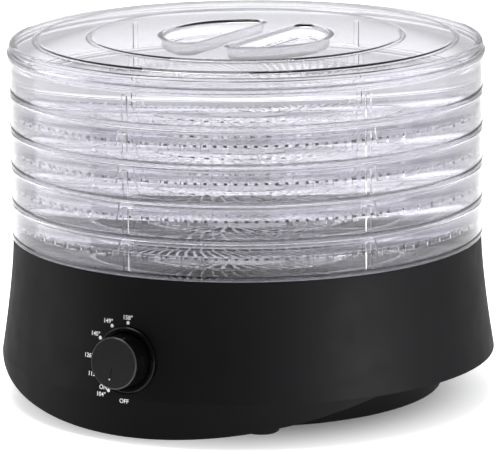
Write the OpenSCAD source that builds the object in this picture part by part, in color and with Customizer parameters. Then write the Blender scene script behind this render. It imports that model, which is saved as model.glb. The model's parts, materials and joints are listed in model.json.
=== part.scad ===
// Round food dehydrator: a powered base with a dial, five clear stacking trays and a clear lid.
// Millimetres. Z is up, the front faces -Y, and the origin is on the floor under the centre.

/* [Base] */
// Radius of the base's top rim
rim_r = 152.2; // [151:0.1:154]
// Height of the base's top rim
base_h = 105; // [98:1:110]
// Radius of the flared skirt at its widest
skirt_r = 160.5; // [158:0.1:164]
// Height of the skirt's lower edge
skirt_z = 28.5; // [24:0.5:30]
// Wall thickness of the housing
housing_wall = 2.6; // [2:0.1:3.5]
// Height of the deck that the warm air comes out of
deck_z = 80; // [76:1:84]
// Distance from the centre at which the chin's sloping edge begins
chin_start = 83.6; // [80:0.1:95]
// Fall of the chin's edge, in mm for each mm outwards
chin_fall = 0.315; // [0.2:0.0025:0.335]

/* [Dial] */
// Turn of the dial away from the front, negative to the viewer's left
dial_turn = -28.9; // [-40:0.1:40]
// Height of the dial's centre on the housing
dial_z = 52.7; // [46:0.1:60]
// Upward tilt of the dial's axis
dial_tilt = 5; // [0:0.5:10]
// Radius of the knob
knob_r = 16.6; // [14:0.1:17.2]
// Height of the knob's face above the housing
knob_h = 16; // [12:0.1:16.2]

/* [Trays] */
// Outside radius of the tray walls
tray_r = 152.3; // [151:0.1:154]
// Height that each tray adds to the stack
tray_pitch = 23.6; // [22:0.1:30]
// Thickness of the clear walls
clear_wall = 2; // [1.6:0.1:2.4]
// Depth of a tray's floor below the seam under its wall
floor_drop = 9; // [8:0.1:9.5]
// Depth of the basket's lower edge below the same seam
basket_drop = 13; // [12:0.1:14]
// Basket positions round the rim, six of them left open for the ribs
basket_pitches = 72; // [36, 48, 60, 72]

/* [Lid] */
// Height of the lid above its seam
lid_h = 11.8; // [11:0.1:16]
// Height of the lid's skirt
lid_skirt_h = 9; // [8:0.1:10]
// Radius of the finger wells' common circle
well_r = 53; // [46:1:60]
// Depth of the finger wells
well_depth = 8.5; // [6:0.5:9]
// Width of the grip bar between the wells
bar_w = 26; // [20:1:30]
// Turn of the grip bar from the depth axis, towards the viewer's right
bar_turn = 29.5; // [0:0.5:60]

/* [Works] */
// Radius of the fan's sweep
fan_r = 56; // [48:1:57]
// Number of fan blades
fan_blades = 7; // [5:1:9]
// Pitch of the fan blades in degrees
fan_pitch = 32; // [20:1:36]
// Radius of the motor shaft
shaft_r = 3; // [2.5:0.1:3.2]
// Radial gap of a shaft in its bearing
shaft_gap = 0.05; // [0.02:0.01:0.1]
// Radius of the cord's passage in the gland
cord_r = 3.6; // [3:0.1:4]

/* [Hidden] */

$fn = 96;
eps = 0.01;
black = "#26262a";
clear = [0.88, 0.88, 0.93, 0.35];
steel = "#b9bcc0";

// Housing
flare_top = base_h - 5;
flare_bottom = skirt_z + 0.5;
flare_power = 1.4;
flare_steps = 16;
well_wall_r = rim_r - 2.3;
deck_t = 2;
ledge_in = 4;
ledge_z = deck_z - 2 * deck_t;
rim_chamfer = 0.6;
post_r = 4.5;
post_ring_r = 147;
post_top = ledge_z;
post_count = 6;
post_first = 15;

// Deck, grille and duct
outlet_r = 62;
grille_r = 66;
grille_t = 2;
duct_wall = 1.2;
duct_bottom = 42;
deck_screw_ring_r = 147;

// Bottom cover
cover_t = 2.5;
cover_top = 32;
cover_r = skirt_r - housing_wall - 0.6;
dish_r = 126;
dish_top_r = 130;
dish_z = 6;
dish_floor = dish_z + cover_t;
intake_count = 24;
intake_w = 3.6;
intake_in = 40;
intake_out = 82;
foot_ring_r = 113;
foot_turn = 4;
foot_r = 12;
foot_stem_r = 4;
motor_post_x = 20;
motor_post_r = 4;
motor_post_top = 13;
screw_r = 1.9;
screw_hole_r = 2.1;

// Cord entry at the back
gland_z = 36;
gland_face = skirt_r - 0.1;
gland_seat = 158;
gland_neck = 13.4;
gland_slot = 14;
gland_flange = 18;
gland_back = 150;
gland_pad_y = 153;
gland_clear = 0.3;

// Dial, in its own frame: X to the viewer's right, Y up, Z outwards along the axis
dial_wall_r = flare_radius(dial_z);
recess_r = 21.4;
recess_floor = -1.5;
boss_back = -5;
boss_margin = 3;
collar_r = 20.9;
collar_in = knob_r + 0.8;
collar_top = 1.4;
bush_r = 4.5;
bush_hole_r = 4.7;
thermostat_plate = 1.2;
thermostat_depth = 14;
thermostat_back = boss_back - thermostat_plate - thermostat_depth;
bush_top = 4;
knob_foot = 0.5;
knob_wall = 2;

// Trays and lid
tray_in = tray_r - clear_wall;
band_r = tray_r + 0.5;
band_h = 3;
seam_gap = 0.2;
basket_r = tray_r - clear_wall - 1.4;
basket_in = basket_r - 1.5;
web_h = 2.2;
rib_w = 3.4;
rib_depth = 2;
rib_top = 20;
rib_count = 6;
vent_w = 4.6;
vent_top = 8.6;
notch_top_w = 11;
notch_bottom_w = 15;
notch_top = 2.6;
floor_t = 1.6;
floor_r = basket_in;
slat_tilt = 18;
// Each row is a ring of slots: inner radius, outer radius, number of slots
SLOT_RINGS = [[26, 60, 24], [64, 100, 48], [104, 142, 72]];
slot_share = 0.62;
tray_count = 5;
lid_z = base_h + tray_count * tray_pitch;
step_out = 136;
step_in = 101.6;
step_h = 1.2;
lid_edge_r = 150;
grip_r = well_r + 4;

// Thermal fuse, beside the duct
fuse_r = 2.2;
fuse_x = outlet_r + 4.2;
fuse_z = 60;

// Terminal block and wires
terminal_y = 99;
wire_sides = 8;
lead_r = 1.2;

// Motor
core_z = 17;
core_h = 16;
rotor_r = 12.5;
rotor_bore = 13;
core_w = 48;
core_front = 22;
core_back = 50;
bar_front = 38;
winding_w = 26;
winding_t = 7;
strap_t = 1.5;
strap_w = 13;
strap_low = 13;
strap_high = core_z + core_h + 2.5;
bearing_r = 5.5;
bearing_h = 6;
hub_z = 45;
hub_h = 13;
hub_r = 14;

function flare_radius(z) = z >= flare_top ? rim_r
    : rim_r + (skirt_r - rim_r) * pow(min(1, (flare_top - z) / (flare_top - flare_bottom)), flare_power);
function polar(r, a) = [r * cos(a), r * sin(a)];
// Turn of a slat at radius r, so that it keeps one tilt all the way in
function swirl(r) = tan(slat_tilt) * ln(floor_r / r) * 180 / PI;
function tray_seam(n) = base_h + (n - 1) * tray_pitch;

// Where a point of the dial's own frame lies in the part
function dial_point(p) =
    let (
        lean = 90 - dial_tilt,
        y = p[1] * cos(lean) - p[2] * sin(lean) - dial_wall_r,
        z = p[1] * sin(lean) + p[2] * cos(lean) + dial_z
    )
        [p[0] * cos(dial_turn) - y * sin(dial_turn), p[0] * sin(dial_turn) + y * cos(dial_turn), z];

// Places a child in the dial's own frame
module at_dial() {
    rotate([0, 0, dial_turn])
        translate([0, -dial_wall_r, dial_z])
            rotate([90 - dial_tilt, 0, 0])
                children();
}

// Repeats a child evenly round the Z axis, the first one turned by first
module ring_of(count, first = 0) {
    for (i = [0 : count - 1])
        rotate([0, 0, first + i * 360 / count])
            children();
}

// A closed tube between two radii
module tube(r_out, r_in, h) {
    rotate_extrude($fn = 180)
        translate([r_in, 0])
            square([r_out - r_in, h]);
}

// A pan-head screw that points down, with its head's underside at z = 0
module pan_screw(length, head_r = 3.6) {
    translate([0, 0, -length])
        cylinder(r = screw_r, h = length);
    difference() {
        cylinder(r1 = head_r, r2 = head_r - 0.8, h = 2.2);
        for (turn = [0, 90])
            rotate([0, 0, turn])
                translate([-2, -0.4, 1])
                    cube([4, 0.8, 2]);
    }
}

// Direction of a route at point i, averaged from its two neighbours
function route_way(p, i) =
    let (d = p[min(i + 1, len(p) - 1)] - p[max(i - 1, 0)])
        d / norm(d);
// Ring of points round the route at point i
function route_ring(p, i, r) =
    let (
        way = route_way(p, i),
        across = cross(way, [0.31, 0.17, 0.93]),
        u = across / norm(across),
        v = cross(way, u)
    )
        [for (k = [0 : wire_sides - 1])
            p[i] + r * (cos(k * 360 / wire_sides) * u + sin(k * 360 / wire_sides) * v)];

// A round wire swept along a route
module wire(route, r) {
    last = len(route) - 1;
    walls = [for (i = [0 : last - 1], k = [0 : wire_sides - 1])
        let (low = i * wire_sides, high = low + wire_sides, next = (k + 1) % wire_sides)
            [low + k, high + k, high + next, low + next]];
    start_cap = [for (k = [0 : wire_sides - 1]) k];
    end_cap = [for (k = [wire_sides - 1 : -1 : 0]) last * wire_sides + k];
    polyhedron(
        points = [for (i = [0 : last]) each route_ring(route, i, r)],
        faces = concat(walls, [start_cap, end_cap])
    );
}

// Everything below the skirt's edge, which is level except for the sloping chin
module under_cut() {
    chin_end = 2 * skirt_r;
    rotate([0, 0, dial_turn])
        rotate([90, 0, -90])
            translate([0, 0, -skirt_r - 5])
                linear_extrude(2 * skirt_r + 10)
                    polygon([
                        [-chin_end, -skirt_r],
                        [-chin_end, skirt_z],
                        [chin_start, skirt_z],
                        [chin_end, skirt_z - chin_fall * (chin_end - chin_start)],
                        [chin_end, -skirt_r]
                    ]);
}

module housing_shell() {
    outer = [for (i = [0 : flare_steps])
        let (z = flare_bottom + (flare_top - flare_bottom) * i / flare_steps)
            [flare_radius(z), z]];
    inner = [for (i = [flare_steps : -1 : 0])
        let (z = flare_bottom + (ledge_z - flare_bottom) * i / flare_steps)
            [flare_radius(z) - housing_wall, z]];
    rotate_extrude($fn = 240)
        polygon(concat(
            [[skirt_r, 0]],
            outer,
            [
                [rim_r, base_h - rim_chamfer],
                [rim_r - rim_chamfer, base_h],
                [well_wall_r, base_h],
                [well_wall_r, deck_z - deck_t],
                [well_wall_r - ledge_in, deck_z - deck_t],
                [well_wall_r - ledge_in, ledge_z]
            ],
            inner,
            [[skirt_r - housing_wall, 0]]
        ));
}

// Solid out to the middle of the housing's wall
module housing_core() {
    rotate_extrude($fn = 240)
        polygon(concat(
            [[0, 0]],
            [for (i = [0 : flare_steps])
                let (z = base_h * i / flare_steps)
                    [flare_radius(z) - housing_wall / 2, z]],
            [[0, base_h]]
        ));
}

module base_housing() {
    color(black)
        difference() {
            union() {
                difference() {
                    housing_shell();
                    under_cut();
                }
                // Screw posts under the ledge, each tied to the wall by a rib
                intersection() {
                    union() {
                        ring_of(post_count, post_first) {
                            translate([post_ring_r, 0, cover_top])
                                cylinder(r = post_r, h = post_top - cover_top + 1);
                            translate([post_ring_r + post_r - 1, -1, cover_top + 4])
                                cube([9, 2, post_top - cover_top - 3]);
                        }
                        // Pad behind the cord gland
                        translate([-gland_flange / 2 - 2, gland_pad_y, cover_top + 0.5])
                            cube([gland_flange + 4, 10, gland_flange + 2]);
                    }
                    housing_core();
                }
                // Boss behind the dial
                intersection() {
                    at_dial()
                        translate([0, 0, boss_back])
                            cylinder(r = recess_r + boss_margin, h = 4);
                    housing_core();
                }
            }
            at_dial() {
                translate([0, 0, recess_floor])
                    cylinder(r = recess_r, h = 10);
                translate([0, 0, boss_back - 5])
                    cylinder(r = bush_hole_r, h = 20);
            }
            // Slot and seat for the cord gland, open at the skirt's edge
            translate([-gland_slot / 2, gland_back - 10, skirt_z - 5])
                cube([gland_slot, 30, gland_z + gland_slot / 2 - skirt_z + 5]);
            translate([-gland_flange / 2 - gland_clear, gland_seat, skirt_z - 5])
                cube([
                    gland_flange + 2 * gland_clear,
                    10,
                    gland_z + gland_flange / 2 + gland_clear - skirt_z + 5
                ]);
            // Pilot holes in the posts
            ring_of(post_count, post_first)
                translate([post_ring_r, 0, cover_top - 1])
                    cylinder(r = screw_r + 0.05, h = 15);
            // Holes in the ledge for the deck's screws
            ring_of(4, 45)
                translate([deck_screw_ring_r, 0, ledge_z - 3])
                    cylinder(r = screw_r + 0.05, h = 6);
        }
}

module base_deck() {
    color("#2e2e32")
        difference() {
            rotate_extrude($fn = 180)
                polygon([
                    [outlet_r, deck_z - deck_t],
                    [well_wall_r - 0.3, deck_z - deck_t],
                    [well_wall_r - 0.3, deck_z],
                    [grille_r + 4, deck_z],
                    [grille_r + 4, deck_z + 1.5],
                    [grille_r + 1, deck_z + 1.5],
                    [grille_r + 1, deck_z],
                    [outlet_r, deck_z]
                ]);
            ring_of(4, 45)
                translate([deck_screw_ring_r, 0, deck_z - 5])
                    cylinder(r = screw_hole_r, h = 10);
        }
}

module deck_screws() {
    color(steel)
        ring_of(4, 45)
            translate([deck_screw_ring_r, 0, deck_z])
                pan_screw(5.5, 2.6);
}

module air_outlet_grille() {
    color("#303035")
        translate([0, 0, deck_z]) {
            difference() {
                cylinder(r = grille_r, h = grille_t, $fn = 180);
                // Four rings of curved louvre slots
                for (k = [0 : 3])
                    let (r_in = 14 + 12.5 * k, r_out = r_in + 9, count = 12 + 6 * k)
                        ring_of(count, 5 * k)
                            translate([0, 0, -1])
                                linear_extrude(grille_t + 2)
                                    polygon([
                                        polar(r_in, -110 / count),
                                        polar(r_out, -110 / count + 6),
                                        polar(r_out, 110 / count + 6),
                                        polar(r_in, 110 / count)
                                    ]);
            }
            // Raised centre button
            cylinder(r1 = 11, r2 = 10, h = grille_t + 1.2);
        }
}

module fan_duct() {
    color(steel)
        translate([0, 0, duct_bottom])
            rotate_extrude($fn = 180)
                polygon([
                    [outlet_r - duct_wall, 0],
                    [outlet_r + 3, -1],
                    [outlet_r + 3.5, 0],
                    [outlet_r, 1],
                    [outlet_r, deck_z - deck_t - duct_bottom - 1.2],
                    [grille_r + 4, deck_z - deck_t - duct_bottom - 1.2],
                    [grille_r + 4, deck_z - deck_t - duct_bottom],
                    [outlet_r - duct_wall, deck_z - deck_t - duct_bottom]
                ]);
}

module bottom_cover() {
    color("#222225")
        difference() {
            union() {
                rotate_extrude($fn = 180)
                    polygon([
                        [0, dish_z],
                        [dish_r, dish_z],
                        [dish_top_r + cover_t, cover_top - cover_t],
                        [cover_r, cover_top - cover_t],
                        [cover_r, cover_top],
                        [dish_top_r, cover_top],
                        [dish_r - cover_t, dish_floor],
                        [0, dish_floor]
                    ]);
                // Posts that carry the motor
                for (x = [-motor_post_x, motor_post_x])
                    translate([x, 0, dish_floor - eps])
                        cylinder(r = motor_post_r, h = motor_post_top - dish_floor + eps);
            }
            // Air intake slots
            ring_of(intake_count)
                translate([intake_in, -intake_w / 2, dish_z - 1])
                    cube([intake_out - intake_in, intake_w, cover_t + 2]);
            ring_of(intake_count / 3)
                translate([11, -intake_w / 2, dish_z - 1])
                    cube([5, intake_w, cover_t + 2]);
            for (x = [-motor_post_x, motor_post_x])
                translate([x, 0, dish_z + 1])
                    cylinder(r = screw_r + 0.05, h = 10);
            ring_of(4, foot_turn)
                translate([0, -foot_ring_r, dish_z - 1])
                    cylinder(r = foot_stem_r + 0.05, h = cover_t + 2);
            ring_of(post_count, post_first)
                translate([post_ring_r, 0, cover_top - cover_t - 1])
                    cylinder(r = screw_hole_r, h = cover_t + 2);
            // Clearance round the back pad and the gland
            translate([-gland_flange / 2 - 2.5, gland_back - 0.5, cover_top - cover_t - 1])
                cube([gland_flange + 5, 15, cover_t + 2]);
            // Clearance round the boss behind the dial
            at_dial()
                translate([0, 0, boss_back - 0.4])
                    cylinder(r = recess_r + boss_margin + 0.4, h = 20);
        }
}

module feet() {
    color("#1b1b1d")
        ring_of(4, foot_turn)
            translate([0, -foot_ring_r, 0])
                rotate_extrude($fn = 64)
                    polygon([
                        [0, 0],
                        [foot_r - 2, 0],
                        [foot_r - 0.8, 0.8],
                        [foot_r, dish_z],
                        [foot_stem_r, dish_z],
                        [foot_stem_r, dish_floor + 1],
                        [foot_stem_r - 1, dish_floor + 2],
                        [0, dish_floor + 2]
                    ]);
}

module bottom_screws() {
    color(steel)
        ring_of(post_count, post_first)
            translate([post_ring_r, 0, cover_top - cover_t])
                mirror([0, 0, 1])
                    pan_screw(12);
}

module cord_gland() {
    neck_h = gland_neck;
    color("#1d1d20")
        difference() {
            union() {
                // Face plate in the seat, neck through the slot, and the flange inside
                translate([-gland_flange / 2, gland_seat, gland_z - neck_h / 2])
                    cube([gland_flange, gland_face - gland_seat, neck_h / 2 + gland_flange / 2]);
                translate([-neck_h / 2, gland_back, gland_z - neck_h / 2])
                    cube([neck_h, gland_face - gland_back - 1, neck_h]);
                translate([-gland_flange / 2, gland_back, cover_top + gland_clear])
                    cube([gland_flange, gland_pad_y - gland_clear - gland_back, gland_flange - 2]);
            }
            translate([0, gland_back - 10, gland_z])
                rotate([-90, 0, 0])
                    cylinder(r = cord_r, h = 30);
        }
}

module terminal_block() {
    poles = 3;
    pole_w = 11;
    top = 12;
    color("#d8d6cf")
        translate([0, terminal_y, dish_floor])
            difference() {
                union() {
                    translate([-poles * pole_w / 2, -8, 0])
                        cube([poles * pole_w, 16, 4]);
                    for (i = [0 : poles - 1])
                        translate([(i - 1) * pole_w - 4.5, -6.5, 3])
                            cube([9, 13, top - 3]);
                }
                for (i = [0 : poles - 1]) {
                    translate([(i - 1) * pole_w, 3, 6])
                        cylinder(r = 2, h = 10);
                    translate([(i - 1) * pole_w, -3, 6])
                        cylinder(r = 2, h = 10);
                    translate([(i - 1) * pole_w, -10, 7.5])
                        rotate([-90, 0, 0])
                            cylinder(r = 1.7, h = 20);
                }
            }
}

module wiring() {
    mains_brown = [
        [11, terminal_y + 3, 16],
        [11, terminal_y + 11, 16.5],
        [9, 120, 24],
        [6, 125, 36],
        [3, 136, 38],
        [2, 146, gland_z]
    ];
    thermostat_lead = [
        [-11, terminal_y - 3, 16],
        [-12, terminal_y - 11, 15],
        [-30, 84, 14],
        [-80, 40, 14],
        [-102, -20, 18],
        [-92, -70, 32],
        dial_point([-9, -4.4, thermostat_back - 16]),
        dial_point([-9, -4.6, thermostat_back - 8.2])
    ];
    heater_lead = [
        [11, terminal_y - 3, 16],
        [13, terminal_y - 11, 16],
        [44, 80, 16],
        [74, 50, 22],
        [76, 24, 46],
        [fuse_x + 2, 13, fuse_z],
        [fuse_x, 7.2, fuse_z]
    ];
    coil_lead = [
        [fuse_x, -7.2, fuse_z],
        [fuse_x + 0.5, -13, fuse_z],
        [fuse_x - 1, -19, fuse_z],
        [outlet_r * cos(20) + 0.3, -outlet_r * sin(20), fuse_z]
    ];
    winding_lead = [
        [0, terminal_y - 3, 16],
        [0, terminal_y - 11, 16.5],
        [4, 68, 24],
        [4, core_back + winding_t + 0.1, 26]
    ];
    mains_blue = [for (p = mains_brown) [-p[0], p[1], p[2]]];
    color("#7a4a2c")
        wire(mains_brown, lead_r);
    color("#4a78b8")
        wire(mains_blue, lead_r);
    color("#d8d0c0")
        for (route = [thermostat_lead, heater_lead, coil_lead, winding_lead])
            wire(route, lead_r);
}

module dial_collar() {
    color("#1f1f22")
        at_dial()
            rotate_extrude($fn = 120)
                polygon([
                    [collar_in, recess_floor],
                    [collar_r, recess_floor],
                    [collar_r, collar_top - 0.5],
                    [collar_r - 0.5, collar_top],
                    [collar_r - 1.2, collar_top],
                    [collar_r - 1.5, collar_top - 0.5],
                    [collar_r - 1.8, collar_top],
                    [collar_in + 0.6, collar_top - 0.4],
                    [collar_in, collar_top - 1]
                ]);
}

module thermostat_body() {
    body_w = 30;
    body_h = 26;
    blade_w = 6.4;
    color("#3a3230")
        at_dial()
            difference() {
                union() {
                    translate([-body_w / 2, -body_h / 2, thermostat_back])
                        cube([body_w, body_h, thermostat_depth]);
                    translate([-body_w / 2 - 3, -body_h / 2, boss_back - thermostat_plate])
                        cube([body_w + 6, body_h, thermostat_plate]);
                    // Bush that goes through the housing
                    translate([0, 0, boss_back - 2])
                        cylinder(r = bush_r, h = bush_top - boss_back + 2);
                    // Blade terminals
                    for (x = [-9, 9])
                        translate([x - blade_w / 2, -5, thermostat_back - 8])
                            cube([blade_w, 0.8, 9]);
                }
                translate([0, 0, thermostat_back + 4])
                    cylinder(r = shaft_r + shaft_gap, h = 40);
            }
}

module thermostat_nut() {
    color(steel)
        at_dial()
            translate([0, 0, recess_floor])
                difference() {
                    cylinder(r = 8, h = 2.6, $fn = 6);
                    translate([0, 0, -1])
                        cylinder(r = bush_r + 0.05, h = 6);
                }
}

module knob() {
    bore_top = knob_h - knob_wall - 1.5;
    color("#202023")
        at_dial()
            difference() {
                union() {
                    rotate_extrude($fn = 160)
                        polygon([
                            [knob_r - knob_wall, knob_foot],
                            [knob_r, knob_foot],
                            [knob_r - 0.3, knob_h - 0.7],
                            [knob_r - 0.9, knob_h],
                            [0, knob_h],
                            [0, knob_h - knob_wall],
                            [knob_r - knob_wall, knob_h - knob_wall]
                        ]);
                    // Hub that grips the shaft
                    translate([0, 0, 5])
                        cylinder(r = 6, h = knob_h - knob_wall - 4);
                    // Stiffening ribs inside
                    ring_of(3, 30)
                        translate([5, -0.6, 6])
                            cube([knob_r - knob_wall - 4.5, 1.2, knob_h - knob_wall - 5.5]);
                }
                translate([0, 0, -5])
                    cylinder(r = shaft_r + 0.02, h = bore_top + 5);
                // Engraved pointer line
                rotate([0, 0, -13])
                    translate([-0.35, -9.7, knob_h - 0.4])
                        cube([0.7, 6.3, 1]);
            }
}

module thermostat_shaft() {
    color(steel)
        at_dial()
            translate([0, 0, boss_back - 10])
                difference() {
                    cylinder(r = shaft_r, h = knob_h - knob_wall - 2 - boss_back + 10);
                    // Flat that the knob's hub keys on
                    translate([-5, 2.2, 16])
                        cube([10, 5, 20]);
                }
}

module thermal_fuse() {
    clip_w = 3;
    color("#c8b48a") {
        translate([fuse_x, -7, fuse_z])
            rotate([-90, 0, 0])
                cylinder(r = fuse_r, h = 14);
        // Clip that holds it to the duct
        translate([outlet_r + 0.3, -clip_w / 2, fuse_z - 6])
            cube([1, clip_w, 14]);
        translate([outlet_r + 0.3, -clip_w / 2, fuse_z + fuse_r])
            cube([7, clip_w, 0.8]);
    }
}

module heater_frame() {
    vane_t = 1;
    vane_bottom = 61;
    vane_top = 71;
    color("#d9cfa6")
        difference() {
            union() {
                for (turn = [0 : 45 : 135])
                    rotate([0, 0, turn])
                        translate([-outlet_r + duct_wall + 0.3, -vane_t / 2, vane_bottom])
                            cube([2 * (outlet_r - duct_wall - 0.3), vane_t, vane_top - vane_bottom]);
                translate([0, 0, vane_bottom])
                    cylinder(r = 8, h = 4);
            }
            for (r = [24, 36, 48])
                translate([0, 0, vane_top - 4])
                    tube(r + 1.9, r - 1.9, 5);
        }
}

module heater_coil() {
    coil_z = 68.8;
    coil_r = 1.5;
    color("#8f8a86")
        for (r = [24, 36, 48])
            translate([0, 0, coil_z])
                rotate_extrude($fn = 120)
                    translate([r, 0])
                        circle(r = coil_r, $fn = 24);
}

module motor_core() {
    window_w = winding_w + 2;
    color("#8d8f93")
        translate([0, 0, core_z])
            linear_extrude(core_h)
                difference() {
                    translate([-core_w / 2, -core_front])
                        square([core_w, core_front + core_back]);
                    circle(r = rotor_bore);
                    // Window that the winding passes through
                    translate([-window_w / 2, bar_front - 18])
                        square([window_w, 18]);
                    // Rounded outer corners
                    for (side = [-1, 1])
                        translate([side * (core_w / 2 + 1), core_back + 1])
                            circle(r = 5);
                    for (x = [-motor_post_x, motor_post_x])
                        translate([x, 0])
                            circle(r = screw_hole_r);
                }
}

module motor_winding() {
    bar_d = core_back - bar_front;
    winding_x = winding_w - 2;
    color("#b5652b")
        difference() {
            translate([-winding_x / 2, bar_front - winding_t, core_z - winding_t])
                cube([winding_x, bar_d + 2 * winding_t, core_h + 2 * winding_t]);
            translate([-winding_w, bar_front - 0.2, core_z - 0.2])
                cube([2 * winding_w, bar_d + 0.4, core_h + 0.4]);
        }
}

module motor_bracket(z, spacer_z, spacer_h) {
    difference() {
        union() {
            translate([-motor_post_x - 5, -strap_w / 2, z])
                cube([2 * motor_post_x + 10, strap_w, strap_t]);
            for (x = [-motor_post_x, motor_post_x])
                translate([x, 0, spacer_z])
                    cylinder(r = 3.5, h = spacer_h);
        }
        translate([0, 0, z - 5])
            cylinder(r = bearing_r + 0.02, h = 12);
        for (x = [-motor_post_x, motor_post_x])
            translate([x, 0, z - 10])
                cylinder(r = screw_hole_r, h = 20);
    }
}

module motor_brackets() {
    color(steel) {
        motor_bracket(strap_low, strap_low + strap_t - eps, core_z - strap_low - strap_t + eps);
        motor_bracket(strap_high, core_z + core_h, strap_high - core_z - core_h + eps);
    }
}

module motor_bearing(z) {
    difference() {
        translate([0, 0, z])
            cylinder(r = bearing_r, h = bearing_h);
        translate([0, 0, z - 1])
            cylinder(r = shaft_r + shaft_gap, h = bearing_h + 2);
    }
}

module motor_bearings() {
    color("#c08f4a") {
        motor_bearing(strap_low - 3);
        motor_bearing(strap_high - 1.5);
    }
}

module motor_screws() {
    color(steel)
        for (x = [-motor_post_x, motor_post_x])
            translate([x, 0, strap_high + strap_t])
                pan_screw(strap_high + strap_t - dish_floor);
}

module motor_shaft() {
    color(steel)
        translate([0, 0, strap_low - 2])
            cylinder(r = shaft_r, h = hub_z + hub_h - strap_low);
}

module motor_rotor() {
    color("#a9adb2")
        translate([0, 0, core_z - 0.5])
            difference() {
                cylinder(r = rotor_r, h = core_h + 1);
                translate([0, 0, -1])
                    cylinder(r = shaft_r + 0.02, h = core_h + 3);
            }
}

module fan_impeller() {
    color("#3b3d42")
        translate([0, 0, hub_z])
            difference() {
                union() {
                    cylinder(r = hub_r, h = hub_h);
                    intersection() {
                        ring_of(fan_blades)
                            translate([hub_r - 2, 0, hub_h / 2])
                                rotate([fan_pitch, 0, 0])
                                    translate([0, -10, -0.7])
                                        cube([fan_r, 20, 1.4]);
                        translate([0, 0, -2])
                            cylinder(r = fan_r, h = hub_h + 3);
                    }
                }
                translate([0, 0, -1])
                    cylinder(r = shaft_r + 0.02, h = hub_h - 0.5);
                // Hollow underside of the hub
                translate([0, 0, -1])
                    tube(hub_r - 2, 6, hub_h - 1.5);
            }
}

// One tray's wall with the basket side that hangs inside the tray below
module tray_wall(seam) {
    wall_h = tray_pitch - seam_gap;
    color(clear)
        translate([0, 0, seam])
            difference() {
                union() {
                    rotate_extrude($fn = 240)
                        polygon([
                            [basket_r, 0],
                            [band_r - 0.3, 0],
                            [band_r, 0.3],
                            [band_r, band_h],
                            [tray_r, band_h + 0.4],
                            [tray_r, wall_h - 2.4],
                            [band_r - 0.1, wall_h - 2],
                            [band_r - 0.1, wall_h - 0.3],
                            [band_r - 0.4, wall_h],
                            [tray_in, wall_h],
                            [tray_in, web_h],
                            [basket_in, web_h],
                            [basket_in, -basket_drop],
                            [basket_r, -basket_drop]
                        ]);
                    // Ribs on the inside of the wall
                    ring_of(rib_count, 60)
                        translate([tray_in - rib_depth, -rib_w / 2, web_h - eps])
                            cube([rib_depth + 0.5, rib_w, rib_top - web_h]);
                }
                // Vents through the basket's lower edge
                for (sector = [0 : rib_count - 1], k = [1 : basket_pitches / rib_count - 1])
                    rotate([0, 0, 60 * sector + k * 360 / basket_pitches])
                        translate([basket_in - 1, -vent_w / 2, -basket_drop - 1])
                            cube([4, vent_w, basket_drop + 1 - vent_top]);
                // Notches that clear the ribs of the tray below
                ring_of(rib_count)
                    translate([basket_in - 1, 0, 0])
                        rotate([90, 0, 90])
                            linear_extrude(4)
                                polygon([
                                    [-notch_bottom_w / 2, -basket_drop - 1],
                                    [notch_bottom_w / 2, -basket_drop - 1],
                                    [notch_top_w / 2, -notch_top],
                                    [-notch_top_w / 2, -notch_top]
                                ]);
            }
}

// One tray's slatted floor
module tray_floor(seam) {
    color(clear)
        translate([0, 0, seam - floor_drop - floor_t]) {
            linear_extrude(floor_t)
                difference() {
                    circle(r = floor_r, $fn = 240);
                    for (row = SLOT_RINGS)
                        let (half = slot_share * 180 / row[2], r_in = row[0], r_out = row[1])
                            ring_of(row[2])
                                polygon([
                                    polar(r_in, swirl(r_in) - half),
                                    polar(r_out, swirl(r_out) - half),
                                    polar(r_out, swirl(r_out) + half),
                                    polar(r_in, swirl(r_in) + half)
                                ]);
                }
            // Stiffening ring under the centre
            translate([0, 0, -1.2])
                tube(22, 20, 1.2 + eps);
        }
}

module lid_shell() {
    skirt_top = lid_skirt_h;
    top = lid_h;
    inner_r = tray_in;
    rotate_extrude($fn = 240)
        polygon([
            [inner_r - 1, 0],
            [tray_r + 1.5, 0],
            [tray_r + 1.8, 0.4],
            [tray_r + 1.8, 2.6],
            [tray_r + 1.2, 3.2],
            [tray_r + 0.4, skirt_top - 2.6],
            [tray_r - 0.6, skirt_top - 0.8],
            [lid_edge_r, skirt_top],
            [step_out + 0.6, skirt_top],
            [step_out - 0.6, top - step_h],
            [step_in + 0.6, top - step_h],
            [step_in - 0.6, top],
            [grip_r, top],
            [grip_r, top - clear_wall],
            [step_in - 0.6 - clear_wall, top - clear_wall],
            [step_in + 0.6 - clear_wall, top - step_h - clear_wall],
            [step_out - 0.6 - clear_wall, top - step_h - clear_wall],
            [step_out + 0.6 - clear_wall, skirt_top - clear_wall],
            [inner_r - 1.2, skirt_top - clear_wall],
            [inner_r - 0.4, skirt_top - clear_wall - 1.5],
            [inner_r - 0.4, 1.5],
            [inner_r - 1, 1.5]
        ]);
}

// Outline of one finger well, shrunk by inset on every side
module well_outline(side, inset) {
    intersection() {
        circle(r = well_r - inset, $fn = 160);
        translate([side > 0 ? bar_w / 2 + inset : -bar_w / 2 - inset - well_r, -well_r])
            square([well_r, 2 * well_r]);
    }
}

module lid() {
    color(clear)
        translate([0, 0, lid_z])
            lid_shell();
}

// The lid's centre, with the grip bar between the two finger wells
module lid_grip() {
    color(clear)
        translate([0, 0, lid_z])
            rotate([0, 0, -bar_turn])
                difference() {
                    union() {
                        translate([0, 0, lid_h - clear_wall])
                            cylinder(r = grip_r, h = clear_wall, $fn = 180);
                        for (side = [-1, 1])
                            translate([0, 0, lid_h - well_depth - clear_wall])
                                linear_extrude(well_depth + clear_wall - 0.5)
                                    well_outline(side, 0);
                    }
                    for (side = [-1, 1])
                        translate([0, 0, lid_h - well_depth])
                            linear_extrude(well_depth + 1)
                                well_outline(side, clear_wall);
                }
}

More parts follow.
